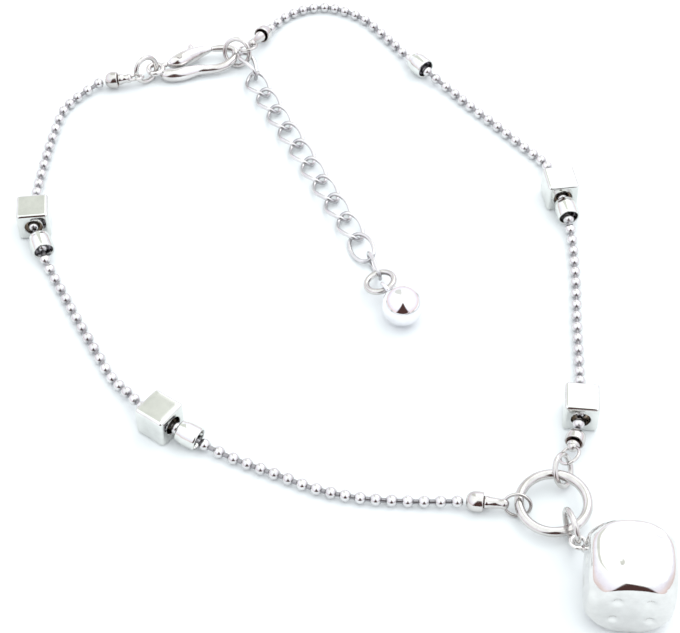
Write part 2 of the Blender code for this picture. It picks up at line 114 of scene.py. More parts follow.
def platedMetal(name, look):
    mat, tree, shader = newFinish(name)
    shader.inputs["Metallic"].default_value = 1.0
    place = addNode(tree, "ShaderNodeTexCoord")
    scale = addNode(tree, "ShaderNodeMapping", inputs={"Scale": (1000, 1000, 1000)},
                    links={"Vector": place.outputs["Object"]})  # one unit is a millimetre
    cloud = addNode(tree, "ShaderNodeTexNoise",
                    inputs={"Scale": look["grain"], "Detail": 4.0, "Roughness": 0.6},
                    links={"Vector": scale.outputs["Vector"]})
    tone = addNode(tree, "ShaderNodeValToRGB", links={"Fac": cloud.outputs["Fac"]})
    tone.color_ramp.elements[0].position = 0.35
    tone.color_ramp.elements[0].color = hexToLinear(look["dull"])
    tone.color_ramp.elements[1].position = 0.62
    tone.color_ramp.elements[1].color = hexToLinear(look["color"])
    tint = addNode(tree, "ShaderNodeVertexColor", {"layer_name": "tint"})  # painted shade in bores, cup mouths, bead necks and link ends
    mixed = addNode(tree, "ShaderNodeMix", {"data_type": "RGBA"}, links={0: tint.outputs["Alpha"],
                    6: tone.outputs["Color"], 7: tint.outputs["Color"]})
    tree.links.new(mixed.outputs[2], shader.inputs["Base Color"])
    haze = addNode(tree, "ShaderNodeMapRange",
                   inputs={"From Min": 0.3, "From Max": 0.7, "To Min": look["rough"] + look["haze"],
                           "To Max": look["rough"]},
                   links={"Value": cloud.outputs["Fac"]})
    tree.links.new(haze.outputs["Result"], shader.inputs["Roughness"])
    # polishing lines are finer than a pixel, so they are drawn at about 0.15 mm
    brush = addNode(tree, "ShaderNodeTexNoise", inputs={"Scale": 6.5, "Detail": 3.0, "Roughness": 0.7},
                    links={"Vector": scale.outputs["Vector"]})
    bump = addNode(tree, "ShaderNodeBump", inputs={"Strength": look["lift"] * 6, "Distance": 0.00002},
                   links={"Height": brush.outputs["Fac"]})
    tree.links.new(bump.outputs["Normal"], shader.inputs["Normal"])
    return mat


finish = {name: platedMetal(name, look) for name, look in plating.items()}
print("finishes made")


def addPiece(name, shapes, plate, nodes, body="anklet"):
    bm = bmesh.new()
    for verts, faces in shapes:
        made = [bm.verts.new(Vector(v) * layout["unit"]) for v in verts]
        for face in faces:
            bm.faces.new([made[i] for i in face])
    bmesh.ops.recalc_face_normals(bm, faces=bm.faces)
    mesh = bpy.data.meshes.new(name)
    bm.to_mesh(mesh)
    bm.free()
    mesh.shade_smooth()
    mesh.materials.append(finish[plate])
    piece = bpy.data.objects.new(name, mesh)
    bpy.context.scene.collection.objects.link(piece)
    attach(piece, body)
    if nodes:
        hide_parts(*nodes)
    return piece


def tintPiece(piece, tone=None):
    # tone(p) gives the colour and strength of the painted shade at a point in millimetres, or None
    layer = piece.data.color_attributes.new("tint", "FLOAT_COLOR", "POINT")
    for vert, cell in zip(piece.data.vertices, layer.data):
        found = tone(vert.co / layout["unit"]) if tone else None
        code, cover = found or ("#000000", 0.0)
        cell.color = (*hexToLinear(code)[:3], cover)


def sweepWire(points, radii, sides, closed):
    count = len(points)
    tangents = []
    for i in range(count):
        if closed:
            t = points[(i + 1) % count] - points[i - 1]
        else:
            t = points[min(i + 1, count - 1)] - points[max(i - 1, 0)]
        tangents.append(t.normalized())
    up = Vector((0, 0, 1)) if abs(tangents[0].z) < 0.9 else Vector((1, 0, 0))
    side = tangents[0].cross(up).normalized()
    across = [side]
    for i in range(1, count):
        side = (side - tangents[i] * side.dot(tangents[i])).normalized()
        across.append(side)
    twist = 0.0
    if closed:
        last = (side - tangents[0] * side.dot(tangents[0])).normalized()
        twist = -math.atan2(last.dot(tangents[0].cross(across[0])), last.dot(across[0]))
    verts = []
    for i in range(count):
        other = tangents[i].cross(across[i])
        for k in range(sides):
            a = 2 * math.pi * k / sides + (twist * i / count if closed else 0.0)
            verts.append(points[i] + (across[i] * math.cos(a) + other * math.sin(a)) * radii[i])
    faces = []
    for i in range(count if closed else count - 1):
        j = (i + 1) % count
        for k in range(sides):
            m = (k + 1) % sides
            faces.append((i * sides + k, i * sides + m, j * sides + m, j * sides + k))
    if not closed:
        faces.append(tuple(range(sides - 1, -1, -1)))
        faces.append(tuple((count - 1) * sides + k for k in range(sides)))
    return verts, faces


def turnProfile(profile, origin, axis, sides, looped=False):
    axis = axis.normalized()
    up = Vector((0, 0, 1)) if abs(axis.z) < 0.9 else Vector((1, 0, 0))
    u = axis.cross(up).normalized()
    w = axis.cross(u)
    verts = []
    rows = []
    for s, r in profile:
        if r < 1e-6:
            rows.append([len(verts)])
            verts.append(origin + axis * s)
            continue
        row = []
        for k in range(sides):
            a = 2 * math.pi * k / sides
            row.append(len(verts))
            verts.append(origin + axis * s + (u * math.cos(a) + w * math.sin(a)) * r)
        rows.append(row)
    pairs = list(zip(rows[:-1], rows[1:]))
    if looped:
        pairs.append((rows[-1], rows[0]))
    faces = []
    for a, b in pairs:
        for k in range(sides):
            m = (k + 1) % sides
            if len(a) == 1:
                faces.append((a[0], b[m], b[k]))
            elif len(b) == 1:
                faces.append((a[k], a[m], b[0]))
            else:
                faces.append((a[k], a[m], b[m], b[k]))
    return verts, faces


def smoothProfile(points, steps):
    # rounds a coarse turned profile with a spline through its points
    out = []
    for i in range(len(points) - 1):
        p0 = points[max(i - 1, 0)]
        p1, p2 = points[i], points[i + 1]
        p3 = points[min(i + 2, len(points) - 1)]
        for k in range(steps):
            t = k / steps
            value = []
            for c in (0, 1):
                m1 = (p2[c] - p0[c]) / 2
                m2 = (p3[c] - p1[c]) / 2
                value.append(p1[c] * (2 * t ** 3 - 3 * t ** 2 + 1) + m1 * (t ** 3 - 2 * t ** 2 + t)
                             + p2[c] * (3 * t ** 2 - 2 * t ** 3) + m2 * (t ** 3 - t ** 2))
            out.append((value[0], max(value[1], 0.0)))
    out.append(points[-1])
    return out


def circlePoints(centre, normal, radius, count):
    n = Vector(normal).normalized()
    ref = Vector((0, 0, 1)) if abs(n.z) < 0.8 else Vector((1, 0, 0))
    a = n.cross(ref).normalized()
    b = n.cross(a)
    angles = [2 * math.pi * k / count for k in range(count)]
    return [centre + (a * math.cos(t) + b * math.sin(t)) * radius for t in angles]


def ovalPoints(centre, axis, roll, length, width, count, twist=0.0):
    axis = axis.normalized()
    side = Vector((0, 0, 1)).cross(axis).normalized()
    up = axis.cross(side)
    out = []
    for k in range(count):
        t = 2 * math.pi * k / count
        phi = roll + twist * math.cos(t)
        w = side * math.cos(phi) + up * math.sin(phi)
        out.append(centre + axis * math.cos(t) * length / 2 + w * math.sin(t) * width / 2)
    return out


def readRun(points):
    # Catmull-Rom line through the measured points, read by bead number
    def at(n):
        i = 0
        while i < len(points) - 2 and n > points[i + 1][0]:
            i += 1
        t1, t2 = points[i][0], points[i + 1][0]
        p1, p2 = spot(*points[i][1:]), spot(*points[i + 1][1:])
        m1 = m2 = (p2 - p1) / (t2 - t1)
        if i > 0:
            m1 = (p2 - spot(*points[i - 1][1:])) / (t2 - points[i - 1][0])
        if i + 2 < len(points):
            m2 = (spot(*points[i + 2][1:]) - p1) / (points[i + 2][0] - t1)
        h = t2 - t1
        u = (n - t1) / h
        return (p1 * (2 * u ** 3 - 3 * u ** 2 + 1) + m1 * h * (u ** 3 - 2 * u ** 2 + u)
                + p2 * (-2 * u ** 3 + 3 * u ** 2) + m2 * h * (u ** 3 - u ** 2))
    return at


# Ball chain: bead number and where it lies, then the size of a bead and of the pin between two.
ballChain = {
    "bead": 1.40, "neck": 0.54, "sides": 20, "steps": 5,
    # the neck colour and its strength are painted shade where two beads meet
    "neckShadeColor": "#77757A", "paintedNeckShade": 0.75, "paintedNeckShadeFrom": 0.6,
    "left": [
        (0, -33.0, 42.0, 0.98), (2, -35.6, 39.4, 0.73), (4, -37.2, 36.6, 0.72), (7, -38.1, 31.2, 0.72),
        (10, -38.6, 26.0, 0.72), (12, -38.85, 22.3, 0.80),
        (13.1, -38.86, 20.3, 1.05), (15, -38.70, 17.0, 1.84),
        (17.25, -38.24, 13.2, 1.84), (18.8, -37.1, 10.75, 1.43),
        (20, -36.45, 8.6, 0.95), (21.2, -35.55, 6.8, 0.73),
        (24, -33.2, 2.2, 0.72), (27, -30.8, -2.5, 0.72),
        (30, -28.2, -7.3, 0.72), (32, -26.5, -10.3, 0.74),
        (34, -24.6, -12.6, 0.95), (35, -23.55, -13.95, 1.30), (36.5, -21.9, -16.05, 1.84),
        (38.8, -18.75, -18.33, 1.84), (39.95, -16.95, -19.25, 1.43), (41.1, -15.05, -20.3, 0.90),
        (43, -11.9, -22.0, 0.73), (46, -7.3, -24.1, 0.72),
        (49, -2.6, -26.2, 0.72), (52, 2.2, -27.4, 0.72),
        (55, 7.4, -27.85, 0.72), (58, 12.8, -28.05, 0.95)],
    "right": [
        (0, 26.88, -18.0, 1.90), (1.45, 27.37, -15.56, 1.95),
        (2.6, 27.57, -13.57, 1.84), (4, 27.75, -11.1, 1.12),
        (5, 27.9, -9.4, 0.78), (7, 28.1, -5.9, 0.72), (10, 28.4, -0.6, 0.72), (13, 28.8, 4.9, 0.72),
        (16, 29.0, 10.3, 0.72), (17.9, 28.95, 13.7, 0.90),
        (19.75, 28.66, 16.75, 1.43), (20.75, 28.31, 18.4, 1.80),
        (22.0, 28.03, 20.4, 1.88), (23.1, 27.75, 22.3, 1.82),
        (24.4, 27.25, 24.5, 1.15), (26, 26.3, 26.8, 0.74),
        (28, 24.3, 29.3, 0.72), (31, 21.0, 33.4, 0.72),
        (34, 17.6, 37.5, 0.72), (36.5, 15.1, 40.75, 0.76),
        (38, 13.15, 42.9, 1.02), (39.85, 11.0, 45.3, 1.43),
        (41.5, 9.15, 47.9, 1.0), (43, 7.75, 50.3, 0.74),
        (45, 5.8, 53.1, 0.72), (47, 3.6, 56.1, 0.72), (49, 0.7, 58.1, 0.72), (51, -2.2, 59.0, 0.72),
        (53, -5.3, 58.4, 0.72), (55, -7.8, 56.7, 0.72), (57, -9.75, 53.9, 0.95)],
}
runAt = {side: readRun(ballChain[side]) for side in ("left", "right")}


def ballLine(side):
    at = runAt[side]
    last = int(ballChain[side][-1][0])
    r = ballChain["bead"] / 2
    pin = ballChain["neck"] / 2
    edge = math.acos(pin / r)
    line, radii = [], []
    for i in range(last + 1):
        here = at(i)
        ahead = (at(min(i + 0.2, last)) - at(max(i - 0.2, 0))).normalized()
        for k in range(-ballChain["steps"], ballChain["steps"] + 1):
            a = edge * k / ballChain["steps"]
            line.append(here + ahead * r * math.sin(a))
            radii.append(r * math.cos(a))
    return sweepWire(line, radii, ballChain["sides"], False)


def paintBeadNeckShade(strand):
    # painted shade darkens the neck where two beads meet
    rows = 2 * ballChain["steps"] + 1
    neck = hexToLinear(ballChain["neckShadeColor"])[:3]
    layer = strand.data.color_attributes.new("tint", "FLOAT_COLOR", "POINT")
    for vert, cell in zip(strand.data.vertices, layer.data):
        k = abs(vert.index // ballChain["sides"] % rows - ballChain["steps"]) / ballChain["steps"]
        near = (k - ballChain["paintedNeckShadeFrom"]) / (1 - ballChain["paintedNeckShadeFrom"])
        cell.color = (*neck, max(0.0, min(1.0, near)) * ballChain["paintedNeckShade"])


for side in ("left", "right"):
    strand = addPiece("ballChain" + side.title(), [ballLine(side)], "chainPlate", ["strand_" + side])
    strand.data.set_sharp_from_angle(angle=math.radians(38))
    paintBeadNeckShade(strand)
print("ball chain strung")


def cutAway(piece, tool):
    # the cut is applied at once so the piece keeps a plain mesh
    mod = piece.modifiers.new("cut", "BOOLEAN")
    mod.operation = "DIFFERENCE"
    mod.solver = "EXACT"
    mod.object = tool
    bpy.context.view_layer.update()
    made = bpy.data.meshes.new_from_object(piece.evaluated_get(bpy.context.evaluated_depsgraph_get()))
    old = piece.data
    piece.modifiers.clear()
    piece.data = made
    made.name = piece.name
    bpy.data.meshes.remove(old)
    bpy.data.objects.remove(tool)


def looseShape(shape):
    mesh = bpy.data.meshes.new("tool")
    verts, faces = shape
    mesh.from_pydata([tuple(Vector(v) * layout["unit"]) for v in verts], [], faces)
    bm = bmesh.new()
    bm.from_mesh(mesh)
    bmesh.ops.recalc_face_normals(bm, faces=bm.faces)
    bm.to_mesh(mesh)
    bm.free()
    mesh.shade_smooth()
    tool = bpy.data.objects.new("tool", mesh)
    bpy.context.scene.collection.objects.link(tool)
    return tool


def roundedBlock(size, edge, cells, arc):
    # a cube grid pulled onto a rounded box; cells across the flat, arc cells round each edge
    half = size / 2
    flat = half - edge
    marks = [math.tan(math.radians(-45 + 45 * k / arc)) for k in range(arc)]
    line = [(-flat, m) for m in marks] + [(-flat + 2 * flat * k / cells, 0.0) for k in range(cells + 1)]
    line += [(flat, -m) for m in reversed(marks)]
    count = len(line)
    verts, faces, index = [], [], {}
    for axis in range(3):
        for sign in (-1, 1):
            grid = []
            for i in range(count):
                row = []
                for j in range(count):
                    inner = [0.0, 0.0, 0.0]
                    out = [0.0, 0.0, 0.0]
                    inner[axis], out[axis] = sign * flat, sign * 1.0
                    for other, (base, lean) in ((1, line[i]), (2, line[j])):
                        c = (axis + other) % 3
                        inner[c], out[c] = base, lean
                    p = Vector(inner) + Vector(out).normalized() * edge
                    key = (round(p.x, 5), round(p.y, 5), round(p.z, 5))
                    if key not in index:
                        index[key] = len(verts)
                        verts.append(p)
                    row.append(index[key])
                grid.append(row)
            for i in range(count - 1):
                for j in range(count - 1):
                    quad = (grid[i][j], grid[i + 1][j], grid[i + 1][j + 1], grid[i][j + 1])
                    if len(set(quad)) == 4:
                        faces.append(quad if sign > 0 else quad[::-1])
    return verts, faces


# Cube beads: centre x, y and the turn of each, with a bore along the chain.
# the inside colour is painted shade on the bore wall
cubes = {"size": 4.0, "edge": 0.42, "bore": 2.2, "mouth": 0.12, "insideShade": "#B2ABA2",
         "at": [(-38.47, 15.11, 6.5), (-20.35, -17.16, 53.9), (28.05, 20.30, 7.7), (27.37, -15.56, -5.7)]}

for k, (x, y, yaw) in enumerate(cubes["at"]):
    centre = spot(x, y, cubes["size"] / 2 + 0.01)
    turn = Matrix.Translation(centre) @ Matrix.Rotation(math.radians(yaw), 4, "Z")
    verts, faces = roundedBlock(cubes["size"], cubes["edge"], 8, 4)
    cube = addPiece("cubeBead%d" % (k + 1), [([turn @ v for v in verts], faces)], "beadPlate",
                    ["cube_bead_%d" % (k + 1)])
    along = Vector((-math.sin(math.radians(yaw)), math.cos(math.radians(yaw)), 0))
    half, bore, lip = cubes["size"] / 2, cubes["bore"] / 2, cubes["mouth"]
    profile = [(-2 * half, 0), (-2 * half, bore + lip), (-half - 0.001, bore + lip)]
    profile += [(-half + lip * (1 - math.cos(a)), bore + lip * (1 - math.sin(a)))
                for a in (0.4, 0.8, 1.2, 1.57)]
    profile += [(-s, r) for s, r in reversed(profile)]
    cutAway(cube, looseShape(turnProfile(profile, centre, along, 40)))

    def cubeBoreShade(p, centre=centre, along=along):
        gap = (p - centre) - along * (p - centre).dot(along)
        # the drilled wall gets painted shade
        return (cubes["insideShade"], 1.0) if gap.length < cubes["bore"] / 2 + 0.01 else None
    tintPiece(cube, cubeBoreShade)
    cube.data.set_sharp_from_angle(angle=math.radians(40))
print("cube beads cut")


# Stopper beads: a pressed shell, open toward the front of the loop, rounded at the back.
stoppers = {"wide": 2.8, "long": 2.6, "bore": 2.08, "lift": 0.10, "insideShade": "#B0AEB2",
            "at": [("left", 18.8), ("left", 39.95), ("right", 19.75), ("right", 39.85)]}

for k, (side, n) in enumerate(stoppers["at"]):
    axis = runAt[side](n + 0.5) - runAt[side](n - 0.5)
    if axis.y > 0:
        axis = -axis
    axis.z *= 0.5
    r, b, h = stoppers["wide"] / 2, stoppers["bore"] / 2, stoppers["long"] / 2
    shell = smoothProfile([(-h, b + 0.07), (-h + 0.12, b + 0.20), (-h + 0.45, r - 0.10), (-h + 0.95, r),
                           (h - 0.40, r), (h - 0.08, r - 0.05), (h, r - 0.14)], 4)
    shell += smoothProfile([(h - 0.06, r - 0.22), (h - 0.5, b + 0.03), (h - 1.2, b), (-h + 0.1, b)], 3)
    centre = runAt[side](n) + Vector((0, 0, stoppers["lift"]))
    stopper = addPiece("stopperBead%d" % (k + 1), [turnProfile(shell, centre, axis, 36, True)], "beadPlate",
                       ["stopper_bead_%d" % (k + 1)])

    def stopperBoreShade(p, centre=centre, axis=axis.normalized(), b=b):
        gap = (p - centre) - axis * (p - centre).dot(axis)
        # painted shade inside the shell's bore, where the chain runs through
        return (stoppers["insideShade"], 1.0) if gap.length < b + 0.05 else None
    tintPiece(stopper, stopperBoreShade)
print("stopper beads pressed")


# Round rings: centre, the way each faces, outside width and wire.
rings = {
    "centreRing": ((23.19, -28.67, 1.61), (-0.06, -0.05, 1.00), 8.54, 1.10, "centre_ring"),
    "smallRing": ((24.56, -24.53, 1.91), (0.81, -0.35, 0.49), 4.12, 0.62, "small_ring"),
    "charmBail": ((24.75, -32.41, 2.30), (1.16, 0.32, 0.09), 4.58, 0.68, "charm_bail"),
    "leftEndRing": ((-26.54, 43.74, 1.98), (0.665, -0.724, 0.229), 4.04, 0.66, "left_end_ring"),
    "rightEndRing": ((-14.25, 47.36, 2.00), (-0.27, -0.67, 0.35), 4.30, 0.62, "right_end_ring"),
    "dropRing": ((4.87, 4.02, 1.80), (-0.19, 0.06, 0.70), 4.20, 0.76, "drop_ring"),
}

for name, (centre, facing, wide, wire, node) in rings.items():
    loop = circlePoints(spot(*centre), facing, (wide - wire) / 2, 72)
    ring = addPiece(name, [sweepWire(loop, [wire / 2] * 72, 20, True)], "ringPlate", [node])
    tintPiece(ring)
print("rings closed")


# Chain ends: start, tip, roll, cup length, eye length and eye width of each, and the node it stands for.
chainEnds = {
    "cup": 2.3, "wire": 0.40, "insideShade": "#8B7A74",
    "at": {
        "chainEndLeft": ((-32.06, 42.25, 1.2), (-26.71, 42.57, 1.70), 2.72, 1.7, 2.0, 2.2, "chain_end_left"),
        "chainEndBottom": ((13.75, -28.05, 1.17), (20.93, -29.03, 1.40), 1.01, 1.9, 2.9, 2.5,
                           "chain_end_bottom"),
        "chainEndTop": ((26.75, -19.0, 1.7), (24.95, -23.81, 1.94), 0.55, 1.7, 2.6, 2.3, "chain_end_top"),
        "chainEndRight": ((-10.35, 53.15, 1.2), (-13.21, 46.33, 3.03), 0.32, 1.8, 2.5, 2.4,
                          "chain_end_right"),
    },
}

for name, (start, tip, roll, cup, length, width, node) in chainEnds["at"].items():
    start, tip = spot(*start), spot(*tip)
    axis = (tip - start).normalized()
    r = chainEnds["cup"] / 2
    centre = tip - axis * (length / 2 + chainEnds["wire"] / 2)
    knob = max((centre - start).length - length / 2 - 0.1, cup - 0.2)
    dome = [(0, 0), (0.03, 0.45 * r), (0.32, 0.80 * r), (0.85, r), (cup - 0.30, r), (cup - 0.06, r - 0.03),
            (cup, r - 0.12)]
    lip = [(cup - 0.05, r - 0.22), (cup - 0.35, 0.55), (cup - 0.48, 0.34)]
    profile = smoothProfile(dome, 4) + smoothProfile(lip, 3)
    if knob > cup + 0.4:
        for middle, size in ((cup + 0.32, 0.74), (knob + 0.1, 0.62)):
            profile += [(middle - size * math.cos(a * math.pi / 12), size * math.sin(a * math.pi / 12))
                        for a in range(4, 9)]
        profile += [(knob + 0.62, 0.3)]
    else:
        profile += [(cup - 0.2, 0.38), (knob + 0.30, 0.40), (knob + 0.42, 0.30)]
    profile.append((profile[-1][0] + 0.03, 0))
    loop = ovalPoints(centre, axis, roll, length, width, 48)
    eye = sweepWire(loop, [chainEnds["wire"] / 2] * 48, 14, True)
    end = addPiece(name, [turnProfile(profile, start, axis, 36), eye], "ringPlate", [node])
    end.data.set_sharp_from_angle(angle=math.radians(50))

    def cupMouthShade(p, start=start, axis=axis, cup=cup, r=r):
        along = (p - start).dot(axis)
        out = (p - start - axis * along).length
        # painted shade inside the cup's mouth
        if cup - 0.6 < along < cup + 0.02 and out < r - 0.16:
            return chainEnds["insideShade"], 1.0
        return None
    tintPiece(end, cupMouthShade)
print("chain ends formed")


# Extension chain: ten twisted curb links, then a plain link, a small link and the drop's ring.
extension = {
    "first": (-12.43, 45.16, 1.57), "second": (-11.20, 41.80, 0.82), "last": (1.30, 14.39, 0.80),
    "count": 10, "firstRoll": -0.86, "length": 4.80, "width": 2.90, "wire": 0.54, "twist": -36.0,
    "endLink": ((2.69, 10.67, 0.92), 0.46, 4.9, 2.8, 0.52),
    "smallLink": ((4.21, 7.09, 1.42), 1.71, 4.6, 2.3, 0.46),
    # the last three are painted shade at the ends of each link
    "tipShadeTone": "#8C8B8F", "tipShade": 0.6, "tipShadeFrom": 0.86,
}


def linkShape(centre, axis, roll, length, width, wire, twist):
    loop = ovalPoints(centre, axis, roll, length, width, 56, math.radians(twist))
    return sweepWire(loop, [wire / 2] * 56, 14, True)


def linkEndShade(centre, along, length):
    # painted shade darkens a link at each end, where the next one passes through it
    along = along.normalized()

    def tone(p):
        tip = abs((p - centre).dot(along)) / (length / 2)
        tipShadeCover = min((tip - extension["tipShadeFrom"]) / 0.1, 1) * extension["tipShade"]
        return (extension["tipShadeTone"], tipShadeCover) if tipShadeCover > 0 else None
    return tone


first, second, last = spot(*extension["first"]), spot(*extension["second"]), spot(*extension["last"])
step = (last - second) / (extension["count"] - 2)
for k in range(extension["count"]):
    centre, along, roll = second + step * (k - 1), step, 0.0
    if k == 0:
        centre, along, roll = first, second - first + step, extension["firstRoll"]
    shape = linkShape(centre, along, roll, extension["length"], extension["width"], extension["wire"],
                      extension["twist"])
    link = addPiece("curbLink%02d" % (k + 1), [shape], "chainPlate", ["link_%02d" % (k + 1)])
    tintPiece(link, linkEndShade(centre, along, extension["length"]))
endAt, smallAt = spot(*extension["endLink"][0]), spot(*extension["smallLink"][0])
dropAt = spot(*rings["dropRing"][0])
ahead = (smallAt - endAt).normalized()
shape = linkShape(endAt, ahead + step.normalized(), *extension["endLink"][1:], 0.0)
link = addPiece("endLink", [shape], "chainPlate", ["end_link"])
tintPiece(link, linkEndShade(endAt, ahead, extension["endLink"][2]))
shape = linkShape(smallAt, ahead + (dropAt - smallAt).normalized(), *extension["smallLink"][1:], 0.0)
link = addPiece("smallLink", [shape], "chainPlate", ["small_link"])
tintPiece(link, linkEndShade(smallAt, ahead, extension["smallLink"][2]))
print("extension chain linked")


# Ball drop: a polished ball with a short neck and an eye.
drop = {"ball": 5.0, "at": (7.46, -0.50, 2.51), "eyeAt": (5.67, 2.37, 2.19), "eyeFaces": (0.53, 0.33, 0.26),
        "eye": 0.95, "wire": 0.48}
ballAt, eyeAt = spot(*drop["at"]), spot(*drop["eyeAt"])
axis = (eyeAt - ballAt).normalized()
facing = Vector(drop["eyeFaces"])
facing -= axis * facing.dot(axis)
r = drop["ball"] / 2
profile = [(-r * math.cos(math.pi * k / 40), r * math.sin(math.pi * k / 40)) for k in range(38)]
profile = [(s, max(w, 0.0)) for s, w in profile]
profile += smoothProfile([(r - 0.02, 0.50), (r + 0.12, 0.38), (r + 0.35, 0.34)], 3) + [(r + 0.36, 0)]
eye = sweepWire(circlePoints(eyeAt, facing, drop["eye"], 48), [drop["wire"] / 2] * 48, 16, True)
ball = addPiece("ballDrop", [turnProfile(profile, ballAt, axis, 96), eye], "ballPlate", ["ball_drop"])
tintPiece(ball)
print("ball drop turned")


# Die charm: a hollow cube with its corners rounded off and a small pip pressed at each mark.
die = {"size": 8.9, "edge": 0.95, "ball": 12.0, "blend": 0.6, "puff": 0.05, "at": (29.8, -39.9),
       "turn": -4.0, "pipWide": 0.56, "pipDeep": {0: 0.26, 1: 0.24, 2: 0.14},
       "eyeAt": (25.28, -34.27, 2.25), "eyeFaces": (0.07, 0.06, 0.62), "eye": 0.82, "wire": 0.48}
pips = {
    (2, 1): [(-1.71, -1.43), (2.75, 2.3), (2.75, -2.9)],
    (2, -1): [(-2, -2), (2, 2)],
    (1, -1): [(-1.55, 1.75), (1.75, 1.75), (-1.75, -1.35), (2.05, -1.35)],
    (1, 1): [(-1.8, -1.8), (0, 0), (1.8, 1.8)],
    (0, -1): [(0.6, 1.4), (0.3, -1.9)],
    (0, 1): [(-1.8, -1.8), (1.8, 1.8), (-1.8, 1.8), (1.8, -1.8), (0, 0)],
}
verts, faces = roundedBlock(die["size"], die["edge"], 44, 5)
half, reach = die["size"] / 2, die["ball"] / 2
pressed = []
for p in verts:
    flatness = max(0.0, 1 - (sorted(abs(c) for c in p)[1] / half) ** 2)
    over = p.length - reach
    soft = die["blend"] * math.log1p(math.exp(min(over / die["blend"] * 4, 60))) / 4
    q = p * ((p.length - soft) / p.length) if soft > 1e-4 else p.copy()
    for (axisNo, sign), marks in pips.items():
        u, w = [c for c in range(3) if c != axisNo]
        if p[axisNo] * sign < half - die["edge"] * 0.5:
            continue
        if (axisNo, sign) != (2, -1):
            q[axisNo] += sign * die["puff"] * flatness
        for mu, mw in marks:
            away = math.hypot(p[u] - mu, p[w] - mw) / die["pipWide"]
            if away < 2:
                q[axisNo] -= sign * die["pipDeep"][axisNo] * math.exp(-(away * 1.15) ** 3)
    pressed.append(q)
turn = Matrix.Translation(spot(*die["at"], half + 0.01))
turn = turn @ Matrix.Rotation(math.radians(die["turn"]), 4, "Z")
near = spot(*die["eyeAt"])
corner = turn @ Vector((-half + 1.9, half - 1.9, near.z - spot(0, 0, 0.01).z - half))
toward = (corner - near).normalized()
stem = sweepWire([near + toward * 0.72, near + toward * 1.6, corner], [0.40, 0.44, 0.62], 24, False)
eye = sweepWire(circlePoints(near, die["eyeFaces"], die["eye"], 48), [die["wire"] / 2] * 48, 16, True)
charm = addPiece("dieCharm", [([turn @ v for v in pressed], faces), stem, eye], "diePlate", ["die_charm"])
tintPiece(charm)
print("die pressed")


# Lobster clasp: the body with its hook and eye, and the lever that swings inward.
clasp = {
    "eyeAt": (-26.47, 44.24), "heading": 16.9, "height": 1.35, "pivot": (4.7, 0.56),
    "hook": [(1.80, -0.78, -0.12, 0.42), (2.35, -1.20, -0.34, 0.80), (3.5, -1.55, -0.40, 0.93),
             (5.0, -1.60, -0.38, 0.92), (6.7, -1.50, -0.35, 0.74), (8.1, -1.75, -0.35, 0.66),
             (9.45, -1.95, -0.30, 0.60), (10.8, -1.75, -0.13, 0.56), (11.9, -1.15, 0.05, 0.53),
             (12.5, -0.20, 0.17, 0.53), (12.35, 0.75, 0.17, 0.53), (11.6, 1.40, 0.10, 0.52),
             (10.6, 1.75, 0.05, 0.48), (9.75, 1.95, 0.0, 0.42)],
    "lever": [(3.15, 0.52, 0.44), (3.7, 0.58, 0.80), (4.7, 0.70, 1.06), (5.9, 1.16, 1.08),
              (6.9, 1.52, 0.98), (7.9, 1.84, 0.80), (8.8, 1.92, 0.58), (9.35, 1.91, 0.38)],
    "cheek": [(1.90, 0.42, 0.30), (2.45, 0.50, 0.36), (2.75, 0.52, 0.36)],
    "thumb": [(6.5, 1.35, 0.42), (6.75, 2.7, 0.50), (6.85, 3.35, 0.38)],
}


def claspSpot(u, w, z=0.0):
    a = math.radians(clasp["heading"])
    x = clasp["eyeAt"][0] + u * math.cos(a) - w * math.sin(a)
    y = clasp["eyeAt"][1] + u * math.sin(a) + w * math.cos(a)
    return spot(x, y, clasp["height"] + z)


def easedPath(rows, steps):
    # fills in between measured points so that a bend is round
    out = []
    for i in range(len(rows) - 1):
        p0, p1, p2, p3 = rows[max(i - 1, 0)], rows[i], rows[i + 1], rows[min(i + 2, len(rows) - 1)]
        for k in range(steps):
            t = k / steps
            out.append([b * (2 * t ** 3 - 3 * t ** 2 + 1) + c * (3 * t ** 2 - 2 * t ** 3)
                        + (c - a) / 2 * (t ** 3 - 2 * t ** 2 + t) + (d - b) / 2 * (t ** 3 - t ** 2)
                        for a, b, c, d in zip(p0, p1, p2, p3)])
    out.append(list(rows[-1]))
    return out


def roundedEnds(points, radii, steps=4):
    # closes a swept bar with domes in place of flat cuts
    heads = []
    for tip, inner, r in ((points[0], points[1], radii[0]), (points[-1], points[-2], radii[-1])):
        out = (tip - inner).normalized()
        dome = []
        for k in range(1, steps + 1):
            a = math.pi / 2 * k / (steps + 0.4)
            dome.append((tip + out * r * 0.6 * math.sin(a), r * math.cos(a)))
        heads.append(dome)
    line = [p for p, r in reversed(heads[0])] + points + [p for p, r in heads[1]]
    wide = [r for p, r in reversed(heads[0])] + radii + [r for p, r in heads[1]]
    return line, wide


def bar(rows, steps, sides):
    rows = easedPath(rows, steps)
    points = [claspSpot(row[0], row[1], row[2] if len(row) == 4 else 0.0) for row in rows]
    line, wide = roundedEnds(points, [row[-1] for row in rows])
    return sweepWire(line, wide, sides, False)


eye = sweepWire(circlePoints(claspSpot(1.15, 0.0), (0, 0, 1), 0.98, 48), [0.38] * 48, 18, True)
body = addPiece("claspBody", [bar(clasp["hook"], 8, 32), eye, bar(clasp["cheek"], 4, 20)], "claspPlate",
                ["clasp_body"])
tintPiece(body)
pivot = claspSpot(*clasp["pivot"])
post = sweepWire([pivot + Vector((0, 0, -1.15)), pivot + Vector((0, 0, 1.12))], [0.42, 0.42], 24, False)
lever = addPiece("claspLever", [bar(clasp["lever"], 8, 32), post, bar(clasp["thumb"], 5, 22)], "claspPlate",
                 ["clasp_lever"], "clasp_lever")
lever.data.set_sharp_from_angle(angle=math.radians(60))
tintPiece(lever)
print("clasp assembled")


